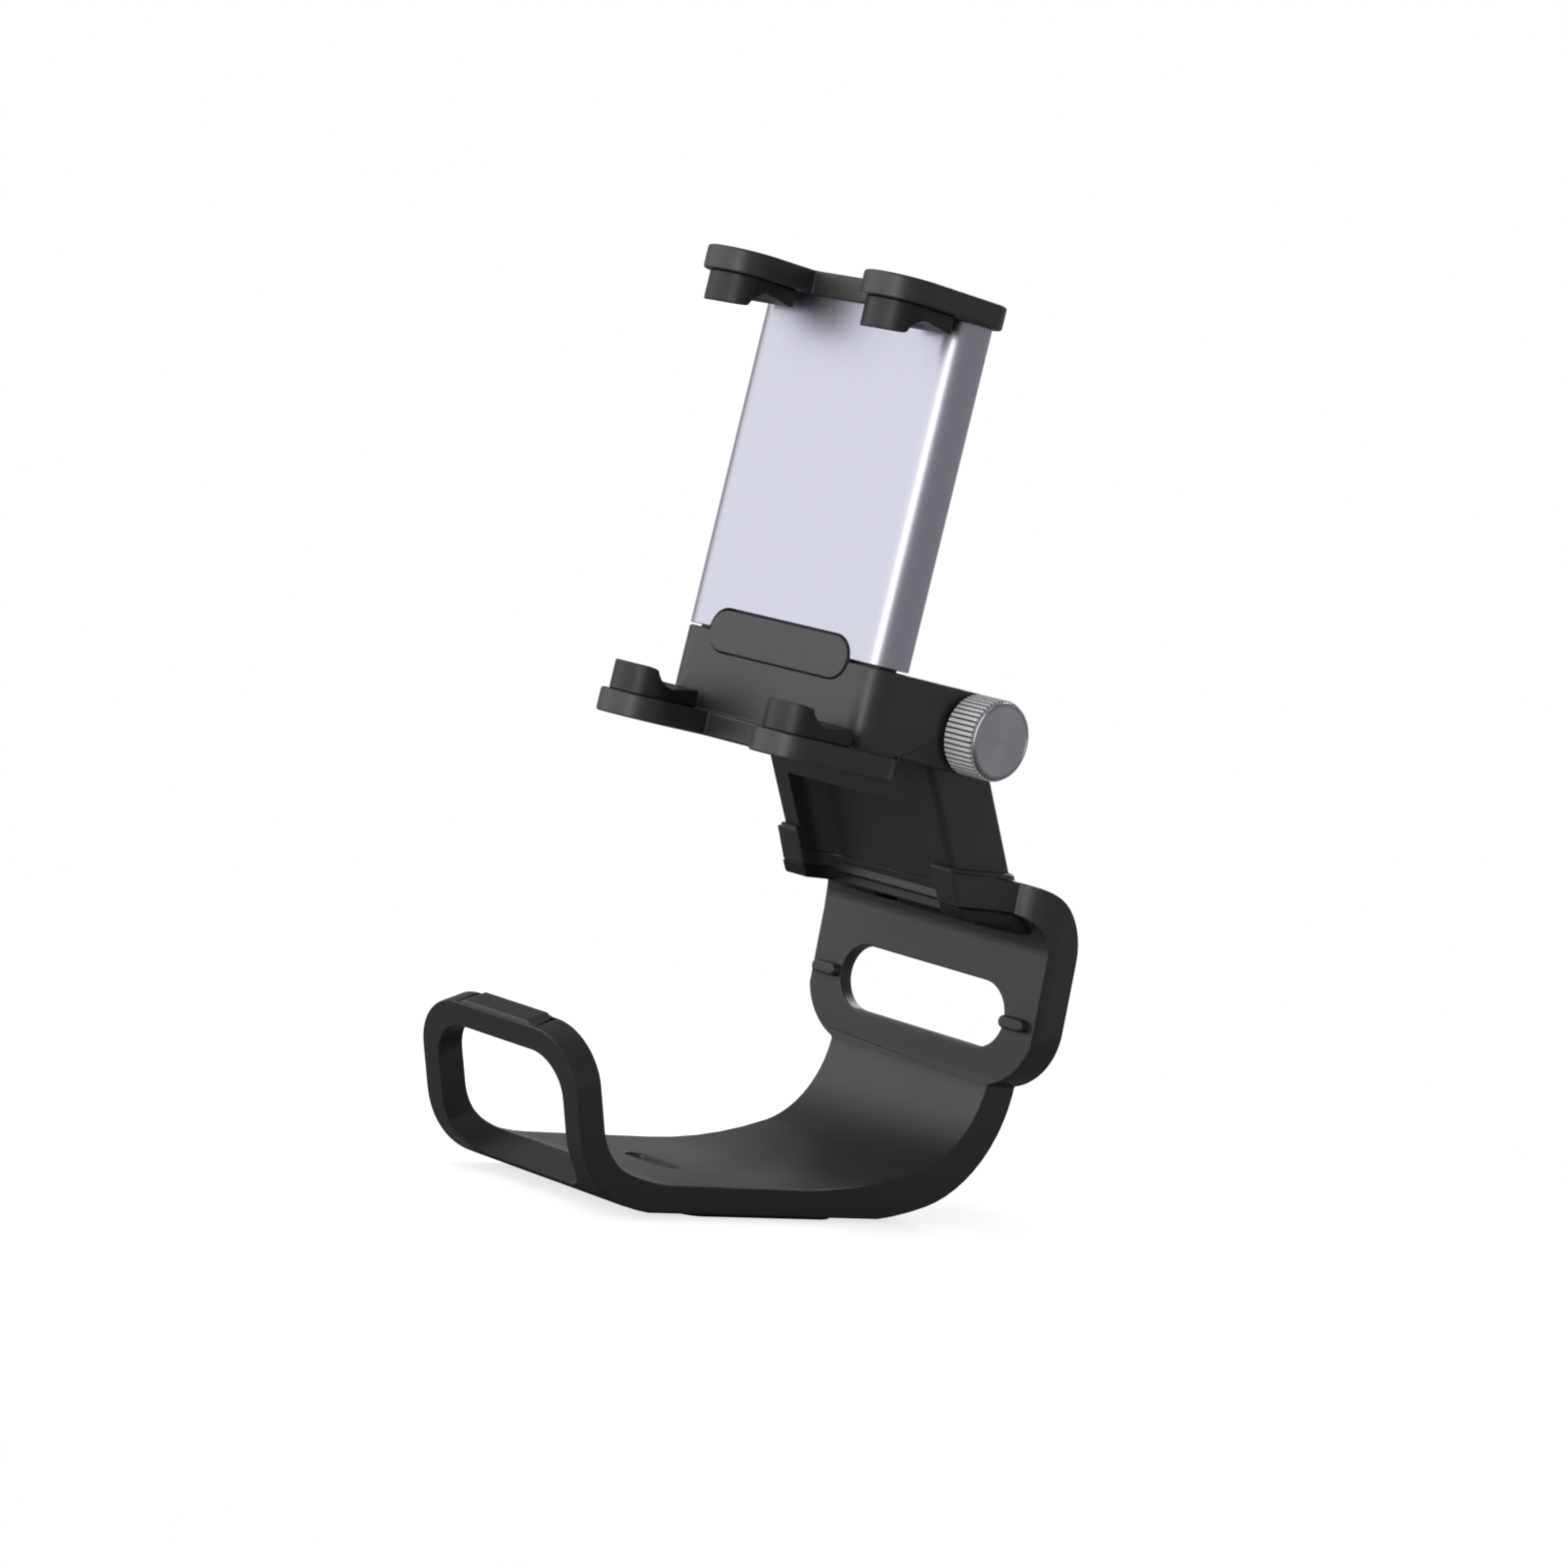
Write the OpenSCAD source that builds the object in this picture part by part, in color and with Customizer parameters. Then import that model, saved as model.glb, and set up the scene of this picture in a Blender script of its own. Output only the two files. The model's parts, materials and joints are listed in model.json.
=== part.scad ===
// Controller phone clip: a springy plastic cradle that hooks round a gamepad,
// a hinged neck, and a spring-loaded phone holder clamped by a knurled knob.
// Millimetres. X to the right, Y to the back, Z up; the belly rests on Z = 0.

/* [Cradle] */
// Width of the strap under the gamepad
strap_w = 29.4; // [26:0.2:33]
// Thickness of the strap at the belly
strap_t = 4; // [3.2:0.1:5]
// Distance from the middle of the belly back to the gamepad side of the back panel
panel_y = 39; // [37:0.5:42]
// Width of the back panel
ear_w = 42.2; // [40:0.2:46]
// Depth of the rim round the back panel
ear_t = 5.6; // [4.5:0.1:7]
// Wall left behind the rear pocket of the back panel
panel_t = 2.2; // [1.6:0.1:3]
// Height of the hook's underside above the table
hook_z = 42.2; // [41:0.2:44]
// Thickness of the hook plate
hook_t = 4.5; // [4:0.1:5.5]
// Lean of the front lip towards the front
lip_lean = 20; // [14:1:24]
// Height of the front edge of the lip's top
lip_h = 21.5; // [20:0.1:24]
// Width of the bars round the window in the front lip
lip_bar = 3.2; // [2.6:0.1:4]
// Length of the cable slot in the back panel
slot_l = 30.4; // [24:0.2:32]
// Height of the cable slot in the back panel
slot_h = 8.9; // [7:0.1:10]

/* [Neck] */
// Width of the neck
neck_w = 31.6; // [29:0.2:31.8]
// Depth of the neck from front to back
neck_d = 10; // [9:0.2:11]
// Lean of the neck towards the front
neck_lean = 31; // [25:1:35]
// Thickness of the side walls of the neck
neck_wall = 3.3; // [2.6:0.1:4]
// Depth of the open channel at the front of the neck
channel_d = 4.2; // [3:0.1:4.6]

/* [Holder] */
// Lean of the phone holder towards the back
holder_lean = 4.1; // [0:0.1:10]
// Width of the sliding sleeve
sleeve_w = 37.3; // [36.4:0.1:38]
// Thickness of the sliding sleeve
sleeve_t = 7.2; // [7:0.1:8]
// Wall of the sliding sleeve
sleeve_wall = 1.4; // [1.2:0.1:1.6]
// Length of the sliding sleeve
sleeve_l = 44.4; // [40:0.2:48]
// Distance from the hinge axis forward to the back of the sleeve
sleeve_back = 11.6; // [11.6:0.1:14]
// Height of the housing above the hinge axis
housing_up = 5.3; // [5.2:0.1:6]
// Depth of the housing below the hinge axis, down to the lower jaw
housing_down = 5.15; // [5.1:0.05:6]
// Thickness of the jaw plates
jaw_t = 3.1; // [2.6:0.1:4]
// Distance between the middles of the two prongs of a jaw
prong_gap = 28.5; // [27:0.1:29]
// Radius of the prong tips
prong_r = 5.6; // [5:0.1:5.8]
// Reach of the prong middles in front of the sleeve
prong_reach = 7.2; // [6:0.1:10]
// Height of the rubber jaw pads
pad_h = 3.85; // [3.2:0.05:4.4]

/* [Hinge] */
// Radius of the rounded end of the hinge block
block_r = 5.3; // [5.2:0.1:5.8]
// Thickness of the cheeks on either side of the neck
cheek_t = 2.5; // [2:0.1:3]
// Radius of the hinge bolt
bolt_r = 2; // [1.5:0.05:2.2]
// Radius of the knob
knob_r = 5.25; // [4.6:0.05:6]
// Length of the knob
knob_l = 5.2; // [4.5:0.1:7]
// Number of knurl grooves round the knob
knurls = 48; // [24:4:60]

/* [Hidden] */
$fn = 48;

black = [0.18, 0.18, 0.18];
soft = [0.26, 0.26, 0.26];
grey = [0.36, 0.36, 0.36];
alloy = [0.8, 0.8, 0.84];
steel = [0.6, 0.6, 0.62];
brass = [0.75, 0.62, 0.3];

// hinge axis
hinge_y = 18.4;
hinge_z = hook_z + 22.7;

// cradle outline: flat foot, wide curves on both sides of it, then the tight front corner and the rear bend
foot_front = -12;
foot_rear = 17;
foot_edge = 0.5;
foot_rise = 0.4;
foot_corner = 4;
front_r = 12.7;
front_cy = -20.06;
front_cz = 13.6;
ear_back = panel_y + ear_t;
rear_r = 18.1;
rear_cy = ear_back - rear_r;
rear_cz = 19.5;
inner_r = 13.5;
inner_cy = panel_y - inner_r;
inner_cz = 20;
inner_front = -14;
inner_rear = 8;
// across the lip and along it, from the front corner's centre
lip_corner = 7.3;
window_corner = 5.2;
lip_out = front_cy * cos(lip_lean) + front_cz * sin(lip_lean) - front_r;
lip_top = (lip_h - lip_out * sin(lip_lean)) / cos(lip_lean);
window_top = lip_top - lip_bar;
window_low = 10.8;
window_w = strap_w - 2 * lip_bar + 0.4;
hook_top = hook_z + hook_t;
corner_r = 9.3;
hook_in_r = 5;
ear_corner = 9;
slot_z = 27.8;
step = 0.6;
socket_floor = 2;

// holder frame: Y = 0 and Z = 0 on the hinge axis
mid_y = -sleeve_back - sleeve_t / 2;
front_y = -sleeve_back - sleeve_t;
inner_w = sleeve_w - 2 * sleeve_wall;
inner_t = sleeve_t - 2 * sleeve_wall;
slide_gap = 0.1;
rest_gap = 0.3;
sleeve_z = housing_up + rest_gap;
sleeve_top = sleeve_z + sleeve_l;
plug_h = 3.5;
tongue_top = sleeve_top - plug_h - 0.6;
tongue_bottom = -housing_down + 1.2;
bar_h = 3.8;
spring_top = tongue_top - bar_h;
rod_x = 9;
rod_r = 0.75;
rod_bottom = 8.8;
retainer_h = 1;
spring_bottom = rod_bottom + 0.3 + retainer_h;
spring_r = 1.28;
wire_r = 0.2;
spring_turns = 9;
prong_y = front_y - prong_reach;
jaw_side = prong_gap / 2 + prong_r;
jaw_front = front_y - 0.6;
jaw_rear = -sleeve_back + 0.3;
pill_w = 25.1;
pill_h = 5.4;
pill_z = housing_up + 0.1;
pill_t = 1;
pad_r = prong_r - 1;
pad_back = 5;
peg_r = 1.6;
knurl_d = 0.42;
cheek_in = neck_w / 2 + 0.3;
block_w = 2 * cheek_in + 2 * cheek_t;
washer_t = 0.5;
bore_gap = 0.06;
screw_x = 8;
jaw_screw_x = 14;

module holder() {
    translate([0, hinge_y, hinge_z]) rotate([-holder_lean, 0, 0]) children();
}

module leaning_neck() {
    translate([0, hinge_y, hinge_z]) rotate([neck_lean, 0, 0]) children();
}

// shape drawn in Y and Z, drawn out along X about the middle
module across(w) {
    rotate([90, 0, 90]) translate([0, 0, -w / 2]) linear_extrude(w) children();
}

// shape drawn in X and Z, drawn out along Y from y0 to y1
module along_y(y0, y1) {
    translate([0, y1, 0]) rotate([90, 0, 0]) linear_extrude(y1 - y0) children();
}

module rod_x_axis(r, x0, x1) {
    translate([x0, 0, 0]) rotate([0, 90, 0]) cylinder(r = r, h = x1 - x0);
}

// two half circles joined by a rectangle, long side along the first axis
module obround(l, h) {
    square([l - h, h], center = true);
    for (s = [-1, 1]) translate([s * (l - h) / 2, 0]) circle(d = h);
}

module rounded(w, h, r) {
    square([w - 2 * r, h], center = true);
    square([w, h - 2 * r], center = true);
    for (sx = [-1, 1], sy = [-1, 1])
        translate([sx * (w / 2 - r), sy * (h / 2 - r)]) circle(r);
}

function arc(cy, cz, r, a0, a1, n) =
    [for (i = [0 : n]) let (a = a0 + (a1 - a0) * i / n) [cy + r * cos(a), cz + r * sin(a)]];

// wide curve between a flat and a circle of radius r, d along the flat and h above it
function wide_r(d, h, r) = (d * d + h * h - r * r) / (2 * (h - r));
function wide_turn(d, h, r) = atan(d / (wide_r(d, h, r) - h));

// side view of the strap: outer line from the lip to the hook, inner line back
module strap_side() {
    lip_a = 180 + lip_lean;
    in_r = front_r - strap_t;
    fd = foot_front - front_cy;
    f_r = wide_r(fd, front_cz, front_r);
    f_t = wide_turn(fd, front_cz, front_r);
    rd = rear_cy - foot_rear;
    r_r = wide_r(rd, rear_cz, rear_r);
    r_t = wide_turn(rd, rear_cz, rear_r);
    gd = inner_front - front_cy;
    g_r = wide_r(gd, front_cz - strap_t, in_r);
    g_t = wide_turn(gd, front_cz - strap_t, in_r);
    bd = inner_cy - inner_rear;
    b_r = wide_r(bd, inner_cz - strap_t, inner_r);
    b_t = wide_turn(bd, inner_cz - strap_t, inner_r);
    polygon(concat(
        [lip_point(lip_out, lip_top + 2)],
        arc(front_cy, front_cz, front_r, lip_a, 270 - f_t, 12),
        arc(foot_front, f_r, f_r, 270 - f_t * 3 / 4, 270, 3),
        arc(foot_rear, r_r, r_r, 270, 270 + r_t * 4 / 5, 4),
        arc(rear_cy, rear_cz, rear_r, 270 + r_t, 360, 12),
        arc(ear_back - corner_r, hook_top - 0.4 - corner_r, corner_r, 0, 85, 12),
        [[hinge_y + 12, hook_top], [hinge_y + 3, hook_top], [hinge_y + 3, hook_z]],
        arc(panel_y - hook_in_r, hook_z - hook_in_r, hook_in_r, 90, 0, 8),
        arc(inner_cy, inner_cz, inner_r, 360, 270 + b_t, 12),
        arc(inner_rear, strap_t + b_r, b_r, 270 + b_t * 4 / 5, 270, 4),
        arc(inner_front, strap_t + g_r, g_r, 270, 270 - g_t * 3 / 4, 3),
        arc(front_cy, front_cz, in_r, 270 - g_t, lip_a, 10),
        [lip_point(lip_out + strap_t, lip_top + 2)]));
}

// point in the side view from its place across the lip and along it
function lip_point(u, v) = [u * cos(lip_lean) - v * sin(lip_lean), u * sin(lip_lean) + v * cos(lip_lean)];

// front view limit of the lip and belly, square to the lip
module lip_front() {
    translate([0, (lip_top - 60) / 2]) rounded(strap_w, lip_top + 60, lip_corner);
}

// front view limit behind the lip: strap below, waist, wide back panel above
module strap_front() {
    translate([-strap_w / 2, -1]) square([strap_w, 24]);
    translate([0, 18.5 + 20]) rounded(ear_w, 40, ear_corner);
}

// plan view limit: strap at the front, hook that flares into the wide back panel with round corners
module strap_plan() {
    hook_x = neck_w / 2 + step;
    flare = ear_w / 2 - hook_x;
    translate([-strap_w / 2, -50]) square([strap_w, 80]);
    translate([-hook_x, 10]) square([2 * hook_x, 34]);
    translate([0, panel_y + 8]) rounded(ear_w, 24, 6);
    for (s = [-1, 1]) polygon(concat(
        [[s * (hook_x - 1), panel_y - 8], [s * hook_x, panel_y - 8]],
        [for (a = [15 : 15 : 75]) [s * (hook_x + flare * (1 - cos(a))), panel_y - 8 + 10 * sin(a)]],
        [[s * (ear_w / 2 - 0.1), panel_y + 4], [s * (hook_x - 1), panel_y + 4]]));
}

// the underside stands on a foot with round corners, a little in from the sides
module foot_plan() {
    translate([0, (foot_front + foot_rear) / 2])
        rounded(strap_w - 2 * foot_edge, foot_rear - foot_front, foot_corner);
    translate([-strap_w / 2 + foot_edge + foot_corner, -40])
        square([strap_w - 2 * foot_edge - 2 * foot_corner, 80]);
}

// open channel of the neck, drawn in its own plan
module channel_plan() {
    w = neck_w - 2 * neck_wall;
    back = -neck_d / 2 + channel_d;
    r = 2.6;
    translate([-w / 2, -neck_d]) square([w, neck_d + back - r]);
    translate([-w / 2 + r, -neck_d]) square([w - 2 * r, neck_d + back]);
    for (s = [-1, 1]) translate([s * (w / 2 - r), back - r]) circle(r);
}

module channel_cut(z0, z1) {
    leaning_neck() translate([0, 0, z0]) linear_extrude(z1 - z0) channel_plan();
}

module neck_plan(grow) {
    translate([0, -0.2]) rounded(neck_w + 2 * grow, neck_d + 2 * grow, 1 + grow);
}

module neck_screw_axes() {
    leaning_neck() for (s = [-1, 1]) translate([s * 7, 1.9, -28.2]) children();
}

module cradle() {
    color(black) difference() {
        union() {
            intersection() {
                across(ear_w + 2) strap_side();
                union() {
                    rotate([lip_lean, 0, 0]) along_y(-60, 0) lip_front();
                    along_y(-2, 60) strap_front();
                }
                linear_extrude(80) strap_plan();
            }
            intersection() {
                leaning_neck() translate([0, 0, -34]) linear_extrude(30) neck_plan(step);
                translate([0, 30, hook_z + 2.5]) cube([60, 60, 5], center = true);
            }
            // low raised strip with sloped ends on top of the lip
            rotate([lip_lean, 0, 0]) along_y(lip_out + 0.2, lip_out + strap_t - 0.2) polygon([
                [-6.6, lip_top - 0.5], [6.6, lip_top - 0.5], [6.6, lip_top], [5.8, lip_top + 0.5],
                [-5.8, lip_top + 0.5], [-6.6, lip_top]]);
            // two locating ribs beside the cable slot
            for (s = [-1, 1])
                translate([s * (slot_l / 2 + 2.4), 0, slot_z]) along_y(panel_y - 1.3, panel_y + 0.5) obround(4.4, 1.7);
        }
        // socket for the neck
        intersection() {
            leaning_neck() translate([0, 0, -34]) linear_extrude(34) neck_plan(0);
            translate([0, 30, hook_z + socket_floor + 10]) cube([60, 60, 20], center = true);
        }
        channel_cut(-40, -5);
        // foot on the underside
        difference() {
            translate([-40, -60, -1]) cube([80, 120, 1 + foot_rise]);
            translate([0, 0, -2]) linear_extrude(10) foot_plan();
        }
        // window in the lip, square to the lip
        rotate([lip_lean, 0, 0]) along_y(-60, -14) translate([0, (window_top + window_low) / 2])
            rounded(window_w, window_top - window_low, window_corner);
        // cable slot
        translate([0, 0, slot_z]) along_y(panel_y - 3, ear_back + 2) obround(slot_l, slot_h);
        // rear pocket
        translate([0, 0, slot_z + 1.6]) along_y(panel_y + panel_t, ear_back + 6)
            rounded(ear_w - 5, 17.4, 6);
        // shallow dimple in the belly
        translate([0, -4.7, strap_t - 0.8]) linear_extrude(2) obround(9, 3.6);
        neck_screw_axes() {
            translate([0, 0, -2]) cylinder(r = 2.1, h = 3.5);
            cylinder(r = 1.2, h = 12);
        }
    }
}

module hook_pad_side() {
    pad_t = 1.7;
    polygon(concat(
        [[hinge_y + 3, hook_z], [hinge_y + 3, hook_z - pad_t]],
        arc(panel_y - hook_in_r, hook_z - hook_in_r, hook_in_r - pad_t, 90, 33.75, 5),
        arc(panel_y - hook_in_r, hook_z - hook_in_r, hook_in_r, 33.75, 90, 5)));
}

module hook_pad() {
    color(soft) difference() {
        intersection() {
            across(neck_w + 2) hook_pad_side();
            leaning_neck() translate([0, 10, -34]) linear_extrude(34)
                square([80, neck_w + 0.2], center = true);
        }
        channel_cut(-40, -5);
        neck_screw_axes() translate([0, 0, -4]) cylinder(r = 2.1, h = 6);
    }
}

module neck() {
    color(black) difference() {
        union() {
            intersection() {
                leaning_neck() translate([0, 0, -34]) linear_extrude(34) neck_plan(0);
                translate([0, 20, hook_z + socket_floor + 30]) cube([60, 80, 60], center = true);
            }
            leaning_neck() rod_x_axis(neck_d / 2, -neck_w / 2, neck_w / 2);
        }
        channel_cut(-40, -9.5);
        // room for the housing to swing in front of the axis
        leaning_neck() rod_x_axis(2.8, -neck_w, neck_w);
        leaning_neck() for (s = [-1, 1])
            rod_x_axis(4.3, s > 0 ? neck_w / 2 - 0.8 : -neck_w / 2 - 1, s > 0 ? neck_w / 2 + 1 : -neck_w / 2 + 0.8);
        neck_screw_axes() cylinder(r = 1, h = 12);
    }
}

module neck_screws() {
    color(steel) neck_screw_axes() difference() {
        union() {
            translate([0, 0, 0.2]) cylinder(r = 1.9, h = 1.3);
            translate([0, 0, 1.5]) cylinder(r = 0.95, h = 9.5);
        }
        translate([0, 0, -1]) cylinder(r = 0.9, h = 2, $fn = 6);
    }
}

// plan of a jaw plate in the holder frame
module jaw_plan(rear_round) {
    body_l = jaw_rear - jaw_front;
    translate([-jaw_side, jaw_front]) square([2 * jaw_side, body_l - rear_round]);
    translate([-jaw_side + rear_round, jaw_front]) square([2 * (jaw_side - rear_round), body_l]);
    for (s = [-1, 1]) {
        translate([s * (jaw_side - rear_round), jaw_rear - rear_round]) circle(rear_round);
        translate([s * prong_gap / 2, prong_y]) circle(prong_r);
        translate([s * prong_gap / 2 - prong_r, prong_y]) square([2 * prong_r, jaw_front - prong_y + 0.5]);
    }
}

module peg_holes(z0, h) {
    for (s = [-1, 1]) translate([s * prong_gap / 2, prong_y + 1.4, z0]) cylinder(r = peg_r, h = h);
}

module housing() {
    color(black) holder() difference() {
        union() {
            translate([0, 0, -housing_down - jaw_t]) linear_extrude(jaw_t) jaw_plan(3.4);
            translate([0, mid_y, -housing_down - 0.5])
                linear_extrude(housing_up + housing_down + 0.5) obround(sleeve_w, sleeve_t);
            // web and cheeks reaching back to the hinge axis
            difference() {
                union() {
                    translate([-block_w / 2, mid_y, -block_r + 0.1]) cube([block_w, -mid_y, 2 * block_r - 0.1]);
                    rod_x_axis(block_r, -block_w / 2, block_w / 2);
                }
                translate([-cheek_in, -neck_d / 2 - 0.8, -20]) cube([2 * cheek_in, 40, 40]);
                rod_x_axis(neck_d / 2 + 0.7, -cheek_in, cheek_in);
            }
        }
        // socket for the tongue
        translate([0, mid_y, tongue_bottom]) linear_extrude(20) obround(inner_w, inner_t);
        // lower half of the opening round the pill pad
        translate([0, 0, pill_z]) along_y(front_y - 1, mid_y) obround(pill_w + 0.2, pill_h + 0.2);
        rod_x_axis(bolt_r + bore_gap, -30, 30);
        peg_holes(-housing_down - 2, 3);
        for (s = [-1, 1]) translate([s * screw_x, mid_y, -20]) {
            cylinder(r = 1.1, h = 30);
            cylinder(r = 1.9, h = 20 - housing_down - jaw_t + 1.5);
        }
    }
}

// rubber pad on a prong: front lip, scoop for the phone's edge, raised rear end
module pad(up) {
    mirror([0, 0, up ? 0 : 1]) difference() {
        union() {
            intersection() {
                linear_extrude(pad_h) union() {
                    circle(pad_r);
                    translate([-pad_r, 0]) square([2 * pad_r, pad_back]);
                }
                across(2 * pad_r + 1) polygon(concat(
                    [[-pad_r - 1, 0], [-pad_r - 1, pad_h], [-3.1, pad_h]],
                    arc(0.4, 4.4, 2.7, 195, 285, 8),
                    [[pad_back + 0.5, 2.4], [pad_back + 0.5, 0]]));
            }
            translate([0, 1.4, -1.9]) cylinder(r = peg_r, h = 2);
        }
        // small relief across the scoop
        translate([0, 2.9, 2.1]) cube([3.4, 0.9, 0.9], center = true);
    }
}

module lower_pads() {
    color(soft) holder() for (s = [-1, 1])
        translate([s * prong_gap / 2, prong_y, -housing_down]) pad(true);
}

module upper_pads() {
    color(soft) holder() for (s = [-1, 1])
        translate([s * prong_gap / 2, prong_y, sleeve_top]) pad(false);
}

module centre_pad() {
    color(grey) holder() translate([0, 0, pill_z]) along_y(front_y - 0.2, front_y + pill_t) obround(pill_w, pill_h);
}

module slide_tongue() {
    color(soft) holder() difference() {
        union() {
            translate([0, mid_y, tongue_bottom])
                linear_extrude(tongue_top - tongue_bottom)
                obround(inner_w - 2 * slide_gap, inner_t - 2 * slide_gap);
            translate([0, 0, pill_z]) along_y(front_y + pill_t, mid_y)
                obround(pill_w - 0.6, pill_h - 0.6);
        }
        for (s = [-1, 1]) {
            translate([s * rod_x - 1.7, -40, rod_bottom]) cube([3.4, 40, spring_top - rod_bottom]);
            translate([s * rod_x, mid_y, spring_top - 1]) cylinder(r = rod_r + bore_gap, h = 20);
            translate([s * screw_x, mid_y, tongue_bottom - 1]) cylinder(r = 0.9, h = 7);
        }
    }
}

module tongue_screws() {
    color(steel) holder() for (s = [-1, 1])
        translate([s * screw_x, mid_y, -housing_down - jaw_t + 0.3]) difference() {
            union() {
                cylinder(r = 1.8, h = 1.2);
                cylinder(r = 0.9, h = 8.5);
            }
            translate([0, 0, -1]) cylinder(r = 0.9, h = 1.7, $fn = 6);
        }
}

module sleeve() {
    color(alloy) holder() difference() {
        translate([0, mid_y, sleeve_z]) linear_extrude(sleeve_l) difference() {
            obround(sleeve_w, sleeve_t);
            obround(inner_w, inner_t);
        }
        translate([0, 0, pill_z]) along_y(front_y - 1, mid_y) obround(pill_w + 0.6, pill_h + 0.6);
        jaw_screw_axes() {
            cylinder(r = 1.1, h = 3);
            cylinder(r1 = 1.66, r2 = 1.1, h = 0.7);
        }
    }
}

// axes of the two screws that hold the top jaw, starting at the sleeve's back
module jaw_screw_axes() {
    for (s = [-1, 1]) translate([s * jaw_screw_x, -sleeve_back, sleeve_top - plug_h / 2])
        rotate([90, 0, 0]) children();
}

module jaw_screws() {
    color(steel) holder() jaw_screw_axes() difference() {
        union() {
            cylinder(r1 = 1.64, r2 = 1, h = 0.7);
            cylinder(r = 1, h = 4.6);
        }
        translate([0, 0, -0.1]) cylinder(r = 0.7, h = 0.7, $fn = 6);
    }
}

module top_jaw() {
    color(black) holder() difference() {
        union() {
            translate([0, 0, sleeve_top]) linear_extrude(jaw_t) jaw_plan(3.4);
            translate([0, mid_y, sleeve_top - plug_h]) linear_extrude(plug_h + 0.5)
                obround(inner_w - 0.1, inner_t - 0.1);
        }
        peg_holes(sleeve_top - 1, 3);
        for (s = [-1, 1]) translate([s * rod_x, mid_y, sleeve_top - plug_h - 1])
            cylinder(r = rod_r, h = plug_h + 2.5);
        jaw_screw_axes() cylinder(r = 1.05, h = 5);
    }
}

module guide_rods() {
    color(steel) holder() for (s = [-1, 1])
        translate([s * rod_x, mid_y, rod_bottom]) cylinder(r = rod_r, h = sleeve_top + 1.5 - rod_bottom);
}

module rod_retainers() {
    color(steel) holder() for (s = [-1, 1])
        translate([s * rod_x, mid_y, rod_bottom + 0.3]) difference() {
            cylinder(r = 1.5, h = retainer_h);
            translate([0, 0, -1]) cylinder(r = rod_r, h = retainer_h + 2);
        }
}

// round wire wound into a coil along Z
module coil(r, w, turns, h) {
    n = 14 * turns;
    m = 6;
    pts = [for (i = [0 : n], j = [0 : m - 1])
        let (a = 360 * turns * i / n, b = 360 * j / m, q = r + w * cos(b))
        [q * cos(a), q * sin(a), w + (h - 2 * w) * i / n + w * sin(b)]];
    sides = [for (i = [0 : n - 1], j = [0 : m - 1])
        let (p = i * m + j, q = i * m + (j + 1) % m)
        [p, p + m, q + m, q]];
    ends = [[for (j = [0 : m - 1]) j], [for (j = [m - 1 : -1 : 0]) n * m + j]];
    polyhedron(concat(pts), concat(sides, ends));
}

module return_springs() {
    color(steel) holder() for (s = [-1, 1])
        translate([s * rod_x, mid_y, spring_bottom]) coil(spring_r, wire_r, spring_turns, spring_top - spring_bottom);
}

module hinge_bolt() {
    color(steel) holder() difference() {
        union() {
            rod_x_axis(bolt_r, -block_w / 2 - washer_t - 1, block_w / 2 + knob_l - 1.5);
            rod_x_axis(3.4, -block_w / 2 - washer_t - 2.4, -block_w / 2 - washer_t);
        }
        translate([-block_w / 2 - washer_t - 3, 0, 0]) rotate([0, 90, 0]) cylinder(r = 1.5, h = 1.8, $fn = 6);
    }
}

module hinge_bush() {
    color(brass) leaning_neck() difference() {
        rod_x_axis(2.8, -neck_w / 2 + 0.8, neck_w / 2 - 0.8);
        rod_x_axis(bolt_r + bore_gap, -neck_w, neck_w);
    }
}

module ring(r_out, r_in, x0, x1) {
    difference() {
        rod_x_axis(r_out, x0, x1);
        rod_x_axis(r_in, x0 - 1, x1 + 1);
    }
}

module hinge_washers() {
    color(steel) holder() {
        ring(4.2, bolt_r + bore_gap, -block_w / 2 - washer_t, -block_w / 2);
        ring(4.2, bolt_r + bore_gap, block_w / 2, block_w / 2 + washer_t);
    }
}

module friction_washers() {
    color(soft) leaning_neck() {
        ring(4.2, bolt_r + bore_gap, -neck_w / 2 - 0.1, -neck_w / 2 + 0.8);
        ring(4.2, bolt_r + bore_gap, neck_w / 2 - 0.8, neck_w / 2 + 0.1);
    }
}

module bolt_cap() {
    x1 = -block_w / 2;
    color(black) holder() difference() {
        union() {
            rod_x_axis(knob_r - 0.1, x1 - 3.6, x1);
            translate([x1 - 4.2, 0, 0]) rotate([0, 90, 0]) cylinder(r1 = knob_r - 0.7, r2 = knob_r - 0.1, h = 0.6);
        }
        rod_x_axis(4.25, x1 - washer_t - 0.1, x1 + 1);
        rod_x_axis(3.45, x1 - washer_t - 2.5, x1 + 1);
    }
}

module knob() {
    x0 = block_w / 2 + washer_t + 0.1;
    x1 = block_w / 2 + washer_t + 0.1 + knob_l;
    color(alloy) holder() difference() {
        union() {
            rod_x_axis(knob_r, x0, x1 - 0.6);
            translate([x1 - 0.6, 0, 0]) rotate([0, 90, 0]) cylinder(r1 = knob_r, r2 = knob_r - 0.6, h = 0.6);
        }
        for (i = [0 : knurls - 1]) rotate([360 * i / knurls, 0, 0])
            translate([x0 - 1, 0, knob_r + 0.04]) rotate([45, 0, 0])
                translate([0, -knurl_d / 2, -knurl_d / 2]) cube([x1 - x0 + 0.25, knurl_d, knurl_d]);
        rod_x_axis(3, x0 - 1, x0 + 3.6);
        rod_x_axis(knob_r - 1.2, x1 - 0.15, x1 + 1);
    }
}

module knob_insert() {
    x0 = block_w / 2 + washer_t + 0.1;
    color(brass) holder() ring(3, bolt_r + bore_gap, x0, x0 + 3.4);
}

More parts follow.
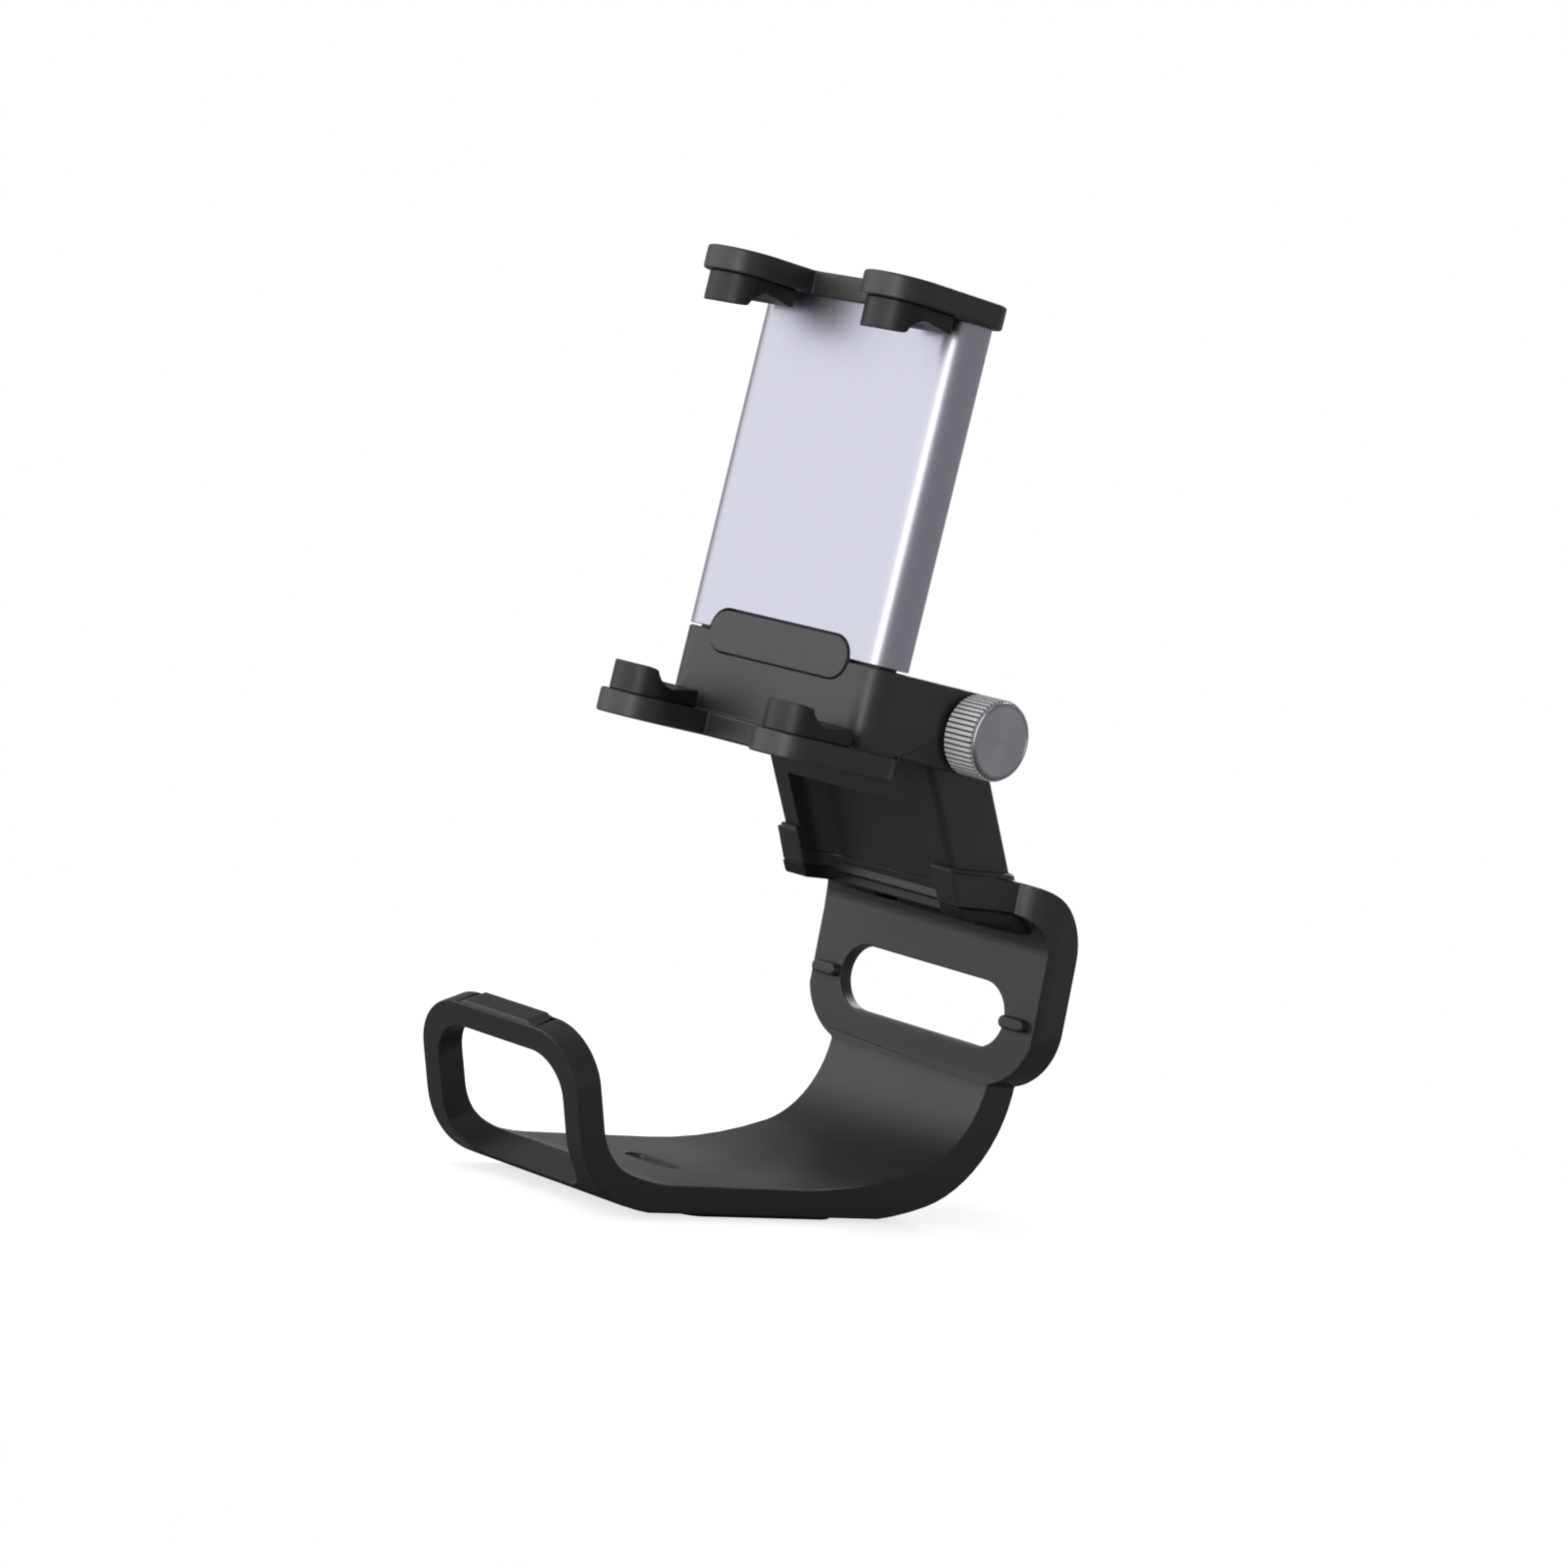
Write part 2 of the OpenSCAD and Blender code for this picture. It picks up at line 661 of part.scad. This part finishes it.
cradle();
hook_pad();
neck();
neck_screws();
housing();
lower_pads();
centre_pad();
slide_tongue();
tongue_screws();
sleeve();
top_jaw();
upper_pads();
jaw_screws();
guide_rods();
rod_retainers();
return_springs();
hinge_bolt();
hinge_bush();
hinge_washers();
friction_washers();
bolt_cap();
knob();
knob_insert();
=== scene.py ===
import json
import math

import bmesh
import bpy
from mathutils import Matrix, Vector

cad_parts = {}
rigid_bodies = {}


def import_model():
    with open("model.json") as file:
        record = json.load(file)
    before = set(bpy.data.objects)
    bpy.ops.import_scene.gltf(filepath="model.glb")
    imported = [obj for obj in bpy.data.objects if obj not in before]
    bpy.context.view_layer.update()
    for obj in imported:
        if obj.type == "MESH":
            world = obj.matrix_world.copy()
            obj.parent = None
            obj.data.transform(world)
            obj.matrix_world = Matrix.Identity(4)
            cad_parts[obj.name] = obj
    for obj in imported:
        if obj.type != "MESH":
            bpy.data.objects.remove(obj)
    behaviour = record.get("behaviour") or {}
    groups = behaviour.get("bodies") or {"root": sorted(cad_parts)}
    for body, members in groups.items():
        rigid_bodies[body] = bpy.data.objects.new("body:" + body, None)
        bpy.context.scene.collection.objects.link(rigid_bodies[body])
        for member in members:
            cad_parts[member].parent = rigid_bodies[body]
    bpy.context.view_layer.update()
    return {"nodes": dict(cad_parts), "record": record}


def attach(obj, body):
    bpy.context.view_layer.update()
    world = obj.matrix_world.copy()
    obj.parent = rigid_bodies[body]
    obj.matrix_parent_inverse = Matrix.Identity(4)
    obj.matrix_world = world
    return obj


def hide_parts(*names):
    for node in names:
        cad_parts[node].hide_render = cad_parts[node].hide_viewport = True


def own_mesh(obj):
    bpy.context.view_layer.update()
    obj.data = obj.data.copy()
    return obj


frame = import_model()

NODES = frame["nodes"]
SLOT = {p["node"]: p["material_slot"] for p in frame["record"]["subparts"]}
BODY = {n: body for body, members in frame["record"]["behaviour"]["bodies"].items()
        for n in members}
MM = 0.001

# Places and sizes in the row frame, in millimetres, from the same values as the solids
HINGE = Vector((0, 18.4, 64.9))
KNOB_BASE = 19.2
KNOB_FACE = 24.4
KNOB_R = 5.25
KNOB_TEETH = 48
HOOK_FRONT = HINGE.y + 3
RIB_L, RIB_H, RIB_D = 4.4, 1.7, 1.6
RIB_Y = 38.5
RIBS = ((-17.6, 27.8), (17.6, 27.8))
CHANNEL_MOUTH = 24.8

# How far each side of the hook pad stands out, from one depth to the next, along the hook's flare
PAD_FLARE = ((20, 33.5, 0.0), (33.5, 34.8, 0.25), (34.8, 35.6, 0.4), (35.6, 36.5, 0.65),
             (36.5, 37.2, 0.95), (37.2, 37.8, 1.25), (37.8, 40, 1.5))

# The width of the rounding on the edges of each piece that needs no other change
EDGES = {"neck": 0.12, "housing": 0.3, "top_jaw": 0.35, "centre_pad": 0.15, "sleeve": 0.12,
         "lower_pads": 0.2, "upper_pads": 0.2, "bolt_cap": 0.2}


# Colours and materials

def linear(hex_code):
    """An sRGB hex colour as linear RGBA."""
    parts = [int(hex_code[i:i + 2], 16) / 255 for i in (0, 2, 4)]
    return [p / 12.92 if p <= 0.04045 else ((p + 0.055) / 1.055) ** 2.4 for p in parts] + [1.0]


def add(tree, kind, settings=None, *sources, **links):
    """Adds a node. Settings go to its sockets or attributes, sources join its inputs in order,
    and links join them by name."""
    n = tree.nodes.new("ShaderNode" + kind)
    for key, value in (settings or {}).items():
        if key in n.inputs:
            n.inputs[key].default_value = value
        else:
            setattr(n, key, value)
    for i, source in enumerate(sources):
        tree.links.new(source, n.inputs[i])
    for key, source in links.items():
        tree.links.new(source, n.inputs[key.replace("_", " ")])
    return n


def material(name, colour, roughness, metallic=0.0, ior=1.5):
    """A new material with its Principled shader, and the object coordinates its patterns read."""
    m = bpy.data.materials.new(name)
    m.use_nodes = True
    tree = m.node_tree
    tree.nodes.clear()
    shader = add(tree, "BsdfPrincipled", {"Base Color": linear(colour), "Roughness": roughness,
                                          "Metallic": metallic, "IOR": ior})
    add(tree, "OutputMaterial", None, shader.outputs["BSDF"])
    coords = add(tree, "TexCoord").outputs["Object"]
    return m, tree, shader, coords


def moulded_abs():
    """Black ABS from a spark-eroded mould: a fine even grain that breaks up the highlights."""
    m, tree, shader, coords = material("moulded_abs_black", "2B2B2C", 0.42, ior=1.56)
    grain = add(tree, "TexNoise", {"Scale": 1 / (0.35 * MM), "Detail": 2.0}, Vector=coords)
    cloud = add(tree, "TexNoise", {"Scale": 1 / (9 * MM), "Detail": 3.0}, Vector=coords)
    rough = add(tree, "MapRange", {"To Min": 0.36, "To Max": 0.46}, Value=cloud.outputs[0])
    tree.links.new(rough.outputs[0], shader.inputs["Roughness"])
    bump = add(tree, "Bump", {"Strength": 0.16, "Distance": 0.02 * MM}, Height=grain.outputs[0])
    tree.links.new(bump.outputs[0], shader.inputs["Normal"])
    return m


def silicone(name, colour, roughness):
    """Silicone rubber from a polished mould: a smooth, slightly greasy sheen with faint marks
    of handling."""
    m, tree, shader, coords = material(name, colour, roughness, ior=1.43)
    marks = add(tree, "TexNoise", {"Scale": 1 / (3 * MM), "Detail": 4.0}, Vector=coords)
    rough = add(tree, "MapRange", {"To Min": roughness - 0.05, "To Max": roughness + 0.07},
                Value=marks.outputs[0])
    tree.links.new(rough.outputs[0], shader.inputs["Roughness"])
    skin = add(tree, "TexNoise", {"Scale": 1 / (0.5 * MM), "Detail": 1.0}, Vector=coords)
    bump = add(tree, "Bump", {"Strength": 0.08, "Distance": 0.02 * MM}, Height=skin.outputs[0])
    tree.links.new(bump.outputs[0], shader.inputs["Normal"])
    return m


def anodised_aluminium():
    """Bead-blasted, clear anodised extrusion: a soft satin grey with a faint lilac cast and fine
    draw lines."""
    m, tree, shader, coords = material("anodised_aluminium", "B2B2BF", 0.34, metallic=1.0)
    blast = add(tree, "TexNoise", {"Scale": 1 / (0.25 * MM), "Detail": 2.0}, Vector=coords)
    drawn = add(tree, "Mapping", {"Scale": (1 / (0.4 * MM), 1 / (0.4 * MM), 1 / (60 * MM))},
                Vector=coords)
    lines = add(tree, "TexNoise", {"Scale": 1.0, "Detail": 2.0}, Vector=drawn.outputs[0])
    rough = add(tree, "MapRange", {"To Min": 0.3, "To Max": 0.4}, Value=lines.outputs[0])
    tree.links.new(rough.outputs[0], shader.inputs["Roughness"])
    bump = add(tree, "Bump", {"Strength": 0.1, "Distance": 0.01 * MM}, Height=blast.outputs[0])
    tree.links.new(bump.outputs[0], shader.inputs["Normal"])
    return m


def turned_aluminium():
    """Bright turned aluminium: the lathe's rings round the hinge axis fan the light out. They are
    too fine to show, so they are drawn 0.16 mm apart."""
    m, tree, shader, coords = material("turned_aluminium", "B4B4BA", 0.25, metallic=1.0)
    centre = add(tree, "Mapping", {"Location": -HINGE * MM}, Vector=coords)
    rings = add(tree, "TexWave", {"wave_type": "RINGS", "rings_direction": "X",
                                  "Scale": 1 / (6.3 * 0.16 * MM), "Distortion": 0.0},
                Vector=centre.outputs[0])
    bump = add(tree, "Bump", {"Strength": 0.25, "Distance": 0.01 * MM},
               Height=rings.outputs["Fac"])
    tree.links.new(bump.outputs[0], shader.inputs["Normal"])
    spun = add(tree, "Tangent", {"direction_type": "RADIAL", "axis": "X"})
    tree.links.new(spun.outputs[0], shader.inputs["Tangent"])
    shader.inputs["Anisotropic"].default_value = 0.8
    return m


def knurl_painted_highlight():
    """Freshly cut knurl: the same aluminium, painted almost white and barely metallic as a painted
    highlight, so its many small cut faces read bright."""
    m, tree, shader, coords = material("knurl_painted_highlight", "FAFAFC", 0.3, metallic=0.15)
    cut = add(tree, "TexNoise", {"Scale": 1 / (0.3 * MM), "Detail": 2.0}, Vector=coords)
    rough = add(tree, "MapRange", {"To Min": 0.22, "To Max": 0.4}, Value=cut.outputs[0])
    tree.links.new(rough.outputs[0], shader.inputs["Roughness"])
    return m


def knurl_groove_painted_shade():
    """The bottoms of the knurl's cuts: the same aluminium painted greyer and duller as painted
    shade, for the little light that gets in, so the teeth read as separate lines."""
    return material("knurl_groove_painted_shade", "8E8E94", 0.4, metallic=0.6)[0]


def zinc_steel():
    """Zinc-plated steel screws, rods and spring wire: bright and a little cloudy."""
    m, tree, shader, coords = material("zinc_plated_steel", "A9ABAF", 0.3, metallic=1.0)
    cloud = add(tree, "TexNoise", {"Scale": 1 / (1.2 * MM), "Detail": 3.0}, Vector=coords)
    rough = add(tree, "MapRange", {"To Min": 0.24, "To Max": 0.42}, Value=cloud.outputs[0])
    tree.links.new(rough.outputs[0], shader.inputs["Roughness"])
    return m


def machined_brass():
    """Machined brass insert and bush: a warm yellow with turning marks across the axis."""
    m, tree, shader, coords = material("machined_brass", "C9A352", 0.28, metallic=1.0)
    marks = add(tree, "TexWave", {"bands_direction": "X", "Scale": 1 / (6.3 * 0.2 * MM)},
                Vector=coords)
    bump = add(tree, "Bump", {"Strength": 0.2, "Distance": 0.01 * MM},
               Height=marks.outputs["Fac"])
    tree.links.new(bump.outputs[0], shader.inputs["Normal"])
    return m


def slide_nylon():
    """Black nylon for sliding parts: waxy, with a broad dull highlight."""
    m, tree, shader, coords = material("slide_nylon", "343436", 0.42, ior=1.53)
    flow = add(tree, "TexNoise", {"Scale": 1 / (5 * MM), "Detail": 3.0}, Vector=coords)
    rough = add(tree, "MapRange", {"To Min": 0.36, "To Max": 0.5}, Value=flow.outputs[0])
    tree.links.new(rough.outputs[0], shader.inputs["Roughness"])
    return m


FINISH = {
    "plastic": moulded_abs(),
    "rubber_pad": silicone("black_silicone", "19191A", 0.4),
    "grey_rubber": silicone("grey_silicone", "48484A", 0.55),
    "nylon": slide_nylon(),
    "anodised_aluminium": anodised_aluminium(),
    "turned_aluminium": turned_aluminium(),
    "knurl": knurl_painted_highlight(),
    "groove": knurl_groove_painted_shade(),
    "screw_steel": zinc_steel(),
    "brass": machined_brass(),
}


def paint(obj, slot):
    obj.data.materials.clear()
    obj.data.materials.append(FINISH[slot])


for name, obj in NODES.items():
    paint(obj, SLOT[name])


# Modelling

def pick(obj):
    """Leaves obj alone selected and active."""
    for other in bpy.context.view_layer.objects:
        other.select_set(False)
    obj.select_set(True)
    bpy.context.view_layer.objects.active = obj


def started(name):
    """The primitive that was just added, under its name and in edit mode."""
    obj = bpy.context.object
    obj.name = name
    bpy.ops.object.mode_set(mode="EDIT")
    return obj


def select_where(obj, kind, test):
    """In edit mode, selects only the faces or vertices whose middle, in millimetres, passes."""
    bpy.ops.mesh.select_mode(type=kind)
    bpy.ops.mesh.select_all(action="DESELECT")
    bm = bmesh.from_edit_mesh(obj.data)
    for item in bm.faces if kind == "FACE" else bm.verts:
        middle = item.calc_center_median() if kind == "FACE" else item.co
        item.select_set(test(obj.matrix_world @ middle / MM, item))
    bm.select_flush_mode()
    bmesh.update_edit_mesh(obj.data)


def nudge(obj, test, move):
    """In edit mode, moves the vertices that pass the test by so many millimetres."""
    select_where(obj, "VERT", test)
    bpy.ops.transform.translate(value=[v * MM for v in move])


def merge_flats():
    """In edit mode, makes each flat side one face, so that only real edges are left to round."""
    bpy.ops.mesh.select_all(action="SELECT")
    bpy.ops.mesh.dissolve_limited(angle_limit=math.radians(0.5))


def round_edges(obj, width, segments, smooth, **settings):
    """Rounds a piece's edges, in millimetres, and shades it smooth up to an angle in degrees."""
    bevel = obj.modifiers.new("edges", "BEVEL")
    bevel.width = width * MM
    bevel.segments = segments
    for key, value in settings.items():
        setattr(bevel, key, value)
    bpy.ops.object.modifier_apply(modifier=bevel.name)
    bpy.ops.object.shade_smooth_by_angle(angle=math.radians(smooth))


def settle(obj, smooth=30):
    """Closes the modelling of a piece: its place goes into its mesh, its faces point outwards."""
    bpy.ops.object.mode_set(mode="EDIT")
    bpy.ops.mesh.select_all(action="SELECT")
    bpy.ops.mesh.remove_doubles(threshold=0.001 * MM)
    bpy.ops.mesh.normals_make_consistent(inside=False)
    bpy.ops.object.mode_set(mode="OBJECT")
    pick(obj)
    bpy.ops.object.transform_apply(location=True, rotation=True, scale=True)
    bpy.ops.object.shade_smooth_by_angle(angle=math.radians(smooth))


def soften(node, edge, angle=28, before=None):
    """A piece on the lines of a CAD node, with every edge sharper than the angle rounded, as it
    leaves the mould or the lathe."""
    obj = NODES[node].copy()
    obj.data = NODES[node].data.copy()
    obj.name = node + "_finished"
    for key in list(obj.keys()):
        del obj[key]
    bpy.context.scene.collection.objects.link(obj)
    obj.parent = None
    pick(obj)
    bpy.ops.object.mode_set(mode="EDIT")
    bpy.ops.mesh.select_all(action="SELECT")
    bpy.ops.mesh.remove_doubles(threshold=0.02 * MM)
    merge_flats()
    if before:
        before(obj)
    bpy.ops.object.mode_set(mode="OBJECT")
    round_edges(obj, edge, 2, 30, limit_method="ANGLE", angle_limit=math.radians(angle),
                miter_outer="MITER_ARC", use_clamp_overlap=False)
    flats = obj.modifiers.new("flats", "WEIGHTED_NORMAL")
    flats.keep_sharp = True
    bpy.ops.object.modifier_apply(modifier=flats.name)
    paint(obj, SLOT[node])
    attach(obj, BODY[node])
    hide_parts(node)
    return obj


# The return springs shorten towards their upper ends as the jaw opens and its rods draw them up;
# here they only get rounded edges and a mesh of their own
springs = soften("return_springs", 0.02, angle=70)
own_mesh(springs)


# Cradle, hook pad and the plain pieces

def on_hook_front(p):
    return abs(p.y - HOOK_FRONT) < 0.05


def in_rib(p):
    """Whether a point lies in the skin of one of the panel's ribs, but not in the panel's face."""
    return 37 < p.y < 38.995 and any(
        abs(p.x - x) < RIB_L / 2 + 0.1 and abs(p.z - z) < RIB_H / 2 + 0.1 for x, z in RIBS)


def bare_cradle(obj):
    """Takes the two ribs off the back panel and closes it, so that its long edges can be rounded
    fully, and leans the two tabs of the hook with the neck, so the pad shows below them."""
    select_where(obj, "FACE", lambda p, f: in_rib(p))
    bpy.ops.mesh.delete(type="FACE")
    bpy.ops.mesh.select_all(action="SELECT")
    bpy.ops.mesh.fill_holes(sides=0)
    merge_flats()
    nudge(obj, lambda p, v: on_hook_front(p) and p.z > 45, (0, 1.2, 0))
    nudge(obj, lambda p, v: on_hook_front(p) and 42 < p.z < 43, (0, 3.6, 0))


def flared_pad(obj):
    """The pad under the hook: its front ends stand back, its sides follow the hook's flare, and
    its rear end thins out."""
    nudge(obj, lambda p, v: on_hook_front(p), (0, 3.0, 0))
    for side in (-1, 1):
        for low, high, spread in PAD_FLARE:
            nudge(obj, lambda p, v: side * p.x > 15.5 and low < p.y <= high, (side * spread, 0, 0))
    nudge(obj, lambda p, v: 36.6 < p.y < 36.79 and p.z < 39.2, (0, 1.1, 0.75))


def panel_rib(name, x, z):
    """A small rib of the back panel, with round ends and edges, out of a cylinder drawn apart."""
    bpy.ops.object.select_all(action="DESELECT")
    bpy.ops.mesh.primitive_cylinder_add(vertices=32, radius=RIB_H / 2 * MM, depth=RIB_D * MM,
                                        location=(x * MM, RIB_Y * MM, z * MM),
                                        rotation=(math.pi / 2, 0, 0))
    obj = started(name)
    for side in (-1, 1):
        nudge(obj, lambda p, v: side * (p.x - x) > 0.01, (side * (RIB_L - RIB_H) / 2, 0, 0))
    settle(obj)
    round_edges(obj, 0.3, 3, 35, limit_method="ANGLE", angle_limit=math.radians(50))
    paint(obj, "plastic")
    return obj


def front_edge(name, low, high, front, slot):
    """The straight lower edge across the mouth of the neck's channel, out of a cube."""
    bpy.ops.object.select_all(action="DESELECT")
    bpy.ops.mesh.primitive_cube_add(size=1, scale=(CHANNEL_MOUTH * MM, 1.2 * MM, (high - low) * MM),
                                    location=(0, (front + 0.6) * MM, (low + high) / 2 * MM))
    obj = started(name)
    settle(obj)
    round_edges(obj, 0.2, 3, 35)
    paint(obj, slot)
    return obj


def join_to(main, others):
    pick(main)
    for other in others:
        other.select_set(True)
    bpy.ops.object.join()


for node, width in EDGES.items():
    soften(node, width)
cradle = soften("cradle", 0.25, before=bare_cradle)
pad = soften("hook_pad", 0.3, before=flared_pad)
ribs = [panel_rib("rib_%d" % i, x, z) for i, (x, z) in enumerate(RIBS)]
channel_edge = front_edge("channel_edge", 41.95, 43.25, 30.35, "plastic")
pad_edge = front_edge("pad_edge", 40.55, 41.9, 31.0, "rubber_pad")
join_to(pad, [pad_edge])
join_to(cradle, ribs + [channel_edge])


# Knob

def disc(name, radius, count, x):
    """A round face square to the hinge axis, ready to be drawn out along it, in edit mode."""
    bpy.ops.object.select_all(action="DESELECT")
    bpy.ops.mesh.primitive_circle_add(vertices=count, radius=radius * MM, fill_type="NGON",
                                      location=(x * MM, HINGE.y * MM, HINGE.z * MM),
                                      rotation=(0, math.pi / 2, 0))
    return started(name)


def shrink_round_axis(x, factor):
    bpy.ops.transform.resize(value=(1, factor, factor),
                             center_override=(x * MM, HINGE.y * MM, HINGE.z * MM))


def draw_out(x, steps):
    """Extrudes the face at x along the hinge axis, by steps of a reach and a change of size."""
    for reach, factor in steps:
        bpy.ops.mesh.extrude_region_move(TRANSFORM_OT_translate={"value": (reach * MM, 0, 0)})
        x += reach
        shrink_round_axis(x, factor)


def knurled_knob():
    """The clamping knob: a rim with straight teeth, every sixth point of its circle being drawn in
    to the bottom of a groove, and a smooth spun head with a raised edge."""
    rim = disc("knob_knurled", KNOB_R, 6 * KNOB_TEETH, KNOB_BASE)
    select_where(rim, "VERT", lambda p, v: v.index % 6 == 0)
    shrink_round_axis(KNOB_BASE, 0.9)
    bpy.ops.mesh.select_all(action="SELECT")
    draw_out(KNOB_BASE, ((KNOB_FACE - KNOB_BASE - 0.7, 1.0), (0.0, 0.9)))
    settle(rim, 5)
    head = disc("knob_head", 0.905 * KNOB_R, 96, KNOB_FACE - 1.3)
    draw_out(KNOB_FACE - 1.3,
             ((0.8, 1.0), (0.02, 1.045), (0.12, 1.012), (0.2, 0.988), (0.11, 0.965), (0.05, 0.97),
              (0.0, 0.98), (-0.1, 0.985), (0.0, 0.97), (0.1, 0.04)))
    settle(head, 40)
    paint(head, "turned_aluminium")
    paint(rim, "knurl")
    rim.data.materials.append(FINISH["groove"])
    # Faces at the bottoms of the grooves take the painted-shade copy of the aluminium; the teeth
    # keep the painted-highlight copy
    for f in rim.data.polygons:
        inner = min((rim.data.vertices[i].co / MM - HINGE).yz.length for i in f.vertices)
        f.material_index = 1 if inner < 0.95 * KNOB_R and abs(f.normal.x) < 0.5 else 0
    for piece in (rim, head):
        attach(piece, BODY["knob"])
        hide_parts("knob")


knurled_knob()


# Studio

def lamp(name, place, aim, size, watts):
    data = bpy.data.lights.new(name, "AREA")
    data.shape = "RECTANGLE"
    data.size, data.size_y = size
    data.energy = watts
    obj = bpy.data.objects.new(name, data)
    bpy.context.scene.collection.objects.link(obj)
    obj.location = place
    obj.rotation_euler = (Vector(aim) - Vector(place)).to_track_quat("-Z", "Y").to_euler()


lamp("strip_light", (0.3, -0.95, 0.14), (0, 0, 0.08), (0.2, 0.6), 2.3)
lamp("top_softbox", (-0.25, -0.3, 0.9), (0, 0, 0.06), (0.5, 0.5), 1.5)
lamp("rear_softbox", (-0.3, 0.8, 0.5), (0, 0, 0.06), (0.4, 0.4), 3)


def seen_directly(tree):
    """1 for what the camera sees, also through clear pieces, and 0 for bounced light."""
    path = add(tree, "LightPath")
    return add(tree, "Math", {"operation": "MAXIMUM"}, path.outputs["Is Camera Ray"],
               path.outputs["Is Transmission Ray"]).outputs[0]


def studio_world():
    """A long low light wall in front and to the left, grey round the sides, dim overhead and
    nearly dark below the table. The camera itself sees plain white."""
    world = bpy.data.worlds.new("studio")
    bpy.context.scene.world = world
    world.use_nodes = True
    tree = world.node_tree
    tree.nodes.clear()
    ray = add(tree, "TexCoord").outputs["Generated"]
    toward = add(tree, "VectorMath", {"operation": "DOT_PRODUCT"}, ray)
    toward.inputs[1].default_value = (-0.5, -0.86, 0.08)
    height = add(tree, "SeparateXYZ", None, ray).outputs["Z"]
    soft = {"interpolation_type": "SMOOTHSTEP"}
    card = add(tree, "MapRange", {**soft, "From Min": 0.45, "From Max": 0.86,
                                  "To Min": 0.0, "To Max": 1.25}, Value=toward.outputs["Value"])
    dusk = add(tree, "MapRange", {**soft, "From Min": 0.1, "From Max": 0.6,
                                  "To Min": 0.38, "To Max": 0.2}, Value=height)
    level = add(tree, "MapRange", {**soft, "From Min": -0.5, "From Max": -0.1,
                                   "To Min": 0.12, "To Max": 1.0}, Value=height)
    both = add(tree, "Math", {"operation": "ADD"}, card.outputs[0], dusk.outputs[0])
    wall = add(tree, "Math", {"operation": "MULTIPLY"}, both.outputs[0], level.outputs[0])
    walls = add(tree, "Background", {"Color": linear("FFFFFF")}, Strength=wall.outputs[0])
    plain = add(tree, "Background", {"Color": linear("FFFFFF"), "Strength": 1.0})
    mix = add(tree, "MixShader", None, seen_directly(tree), walls.outputs[0], plain.outputs[0])
    add(tree, "OutputWorld", None, mix.outputs[0])


def white_floor():
    """Matt white table: plain white to the camera except in the object's own shadow, and a soft
    grey to bounced light."""
    m = bpy.data.materials.new("matt_white_floor")
    m.use_nodes = True
    tree = m.node_tree
    tree.nodes.clear()
    paper = add(tree, "BsdfDiffuse", {"Color": linear("C8C8C8")})
    glow = add(tree, "Emission", {"Color": linear("FFFFFF"), "Strength": 0.75})
    lit = add(tree, "AddShader", None, paper.outputs[0], glow.outputs[0])
    bounce = add(tree, "BsdfDiffuse", {"Color": linear("868686")})
    mix = add(tree, "MixShader", None, seen_directly(tree), bounce.outputs[0], lit.outputs[0])
    add(tree, "OutputMaterial", None, mix.outputs[0])
    return m


studio_world()
bpy.ops.mesh.primitive_circle_add(vertices=96, radius=0.22, fill_type="NGON",
                                  location=(0, 0.01, -0.0002))
floor = bpy.context.object
floor.name = "studio_floor"
floor.data.materials.append(white_floor())

# The camera that the photograph's own perspective gives: its place in millimetres and its axes
camera_data = bpy.data.cameras.new("photo_camera")
camera_data.lens = 115.115
camera_data.sensor_width = 36.0
camera_data.sensor_fit = "AUTO"
camera_data.clip_start = 0.01
camera_data.clip_end = 20.0
camera = bpy.data.objects.new("photo_camera", camera_data)
bpy.context.scene.collection.objects.link(camera)
right = Vector((0.690327, 0.698731, 0.18768))
up = Vector((-0.184639, -0.080673, 0.97949))
back = Vector((0.69954, -0.710821, 0.073322))
turn = Matrix((right, up, back)).transposed().to_4x4()
camera.matrix_world = Matrix.Translation(Vector((450.574, -451.976, 101.101)) * MM) @ turn
bpy.context.scene.camera = camera
bpy.context.scene.view_settings.view_transform = "Standard"
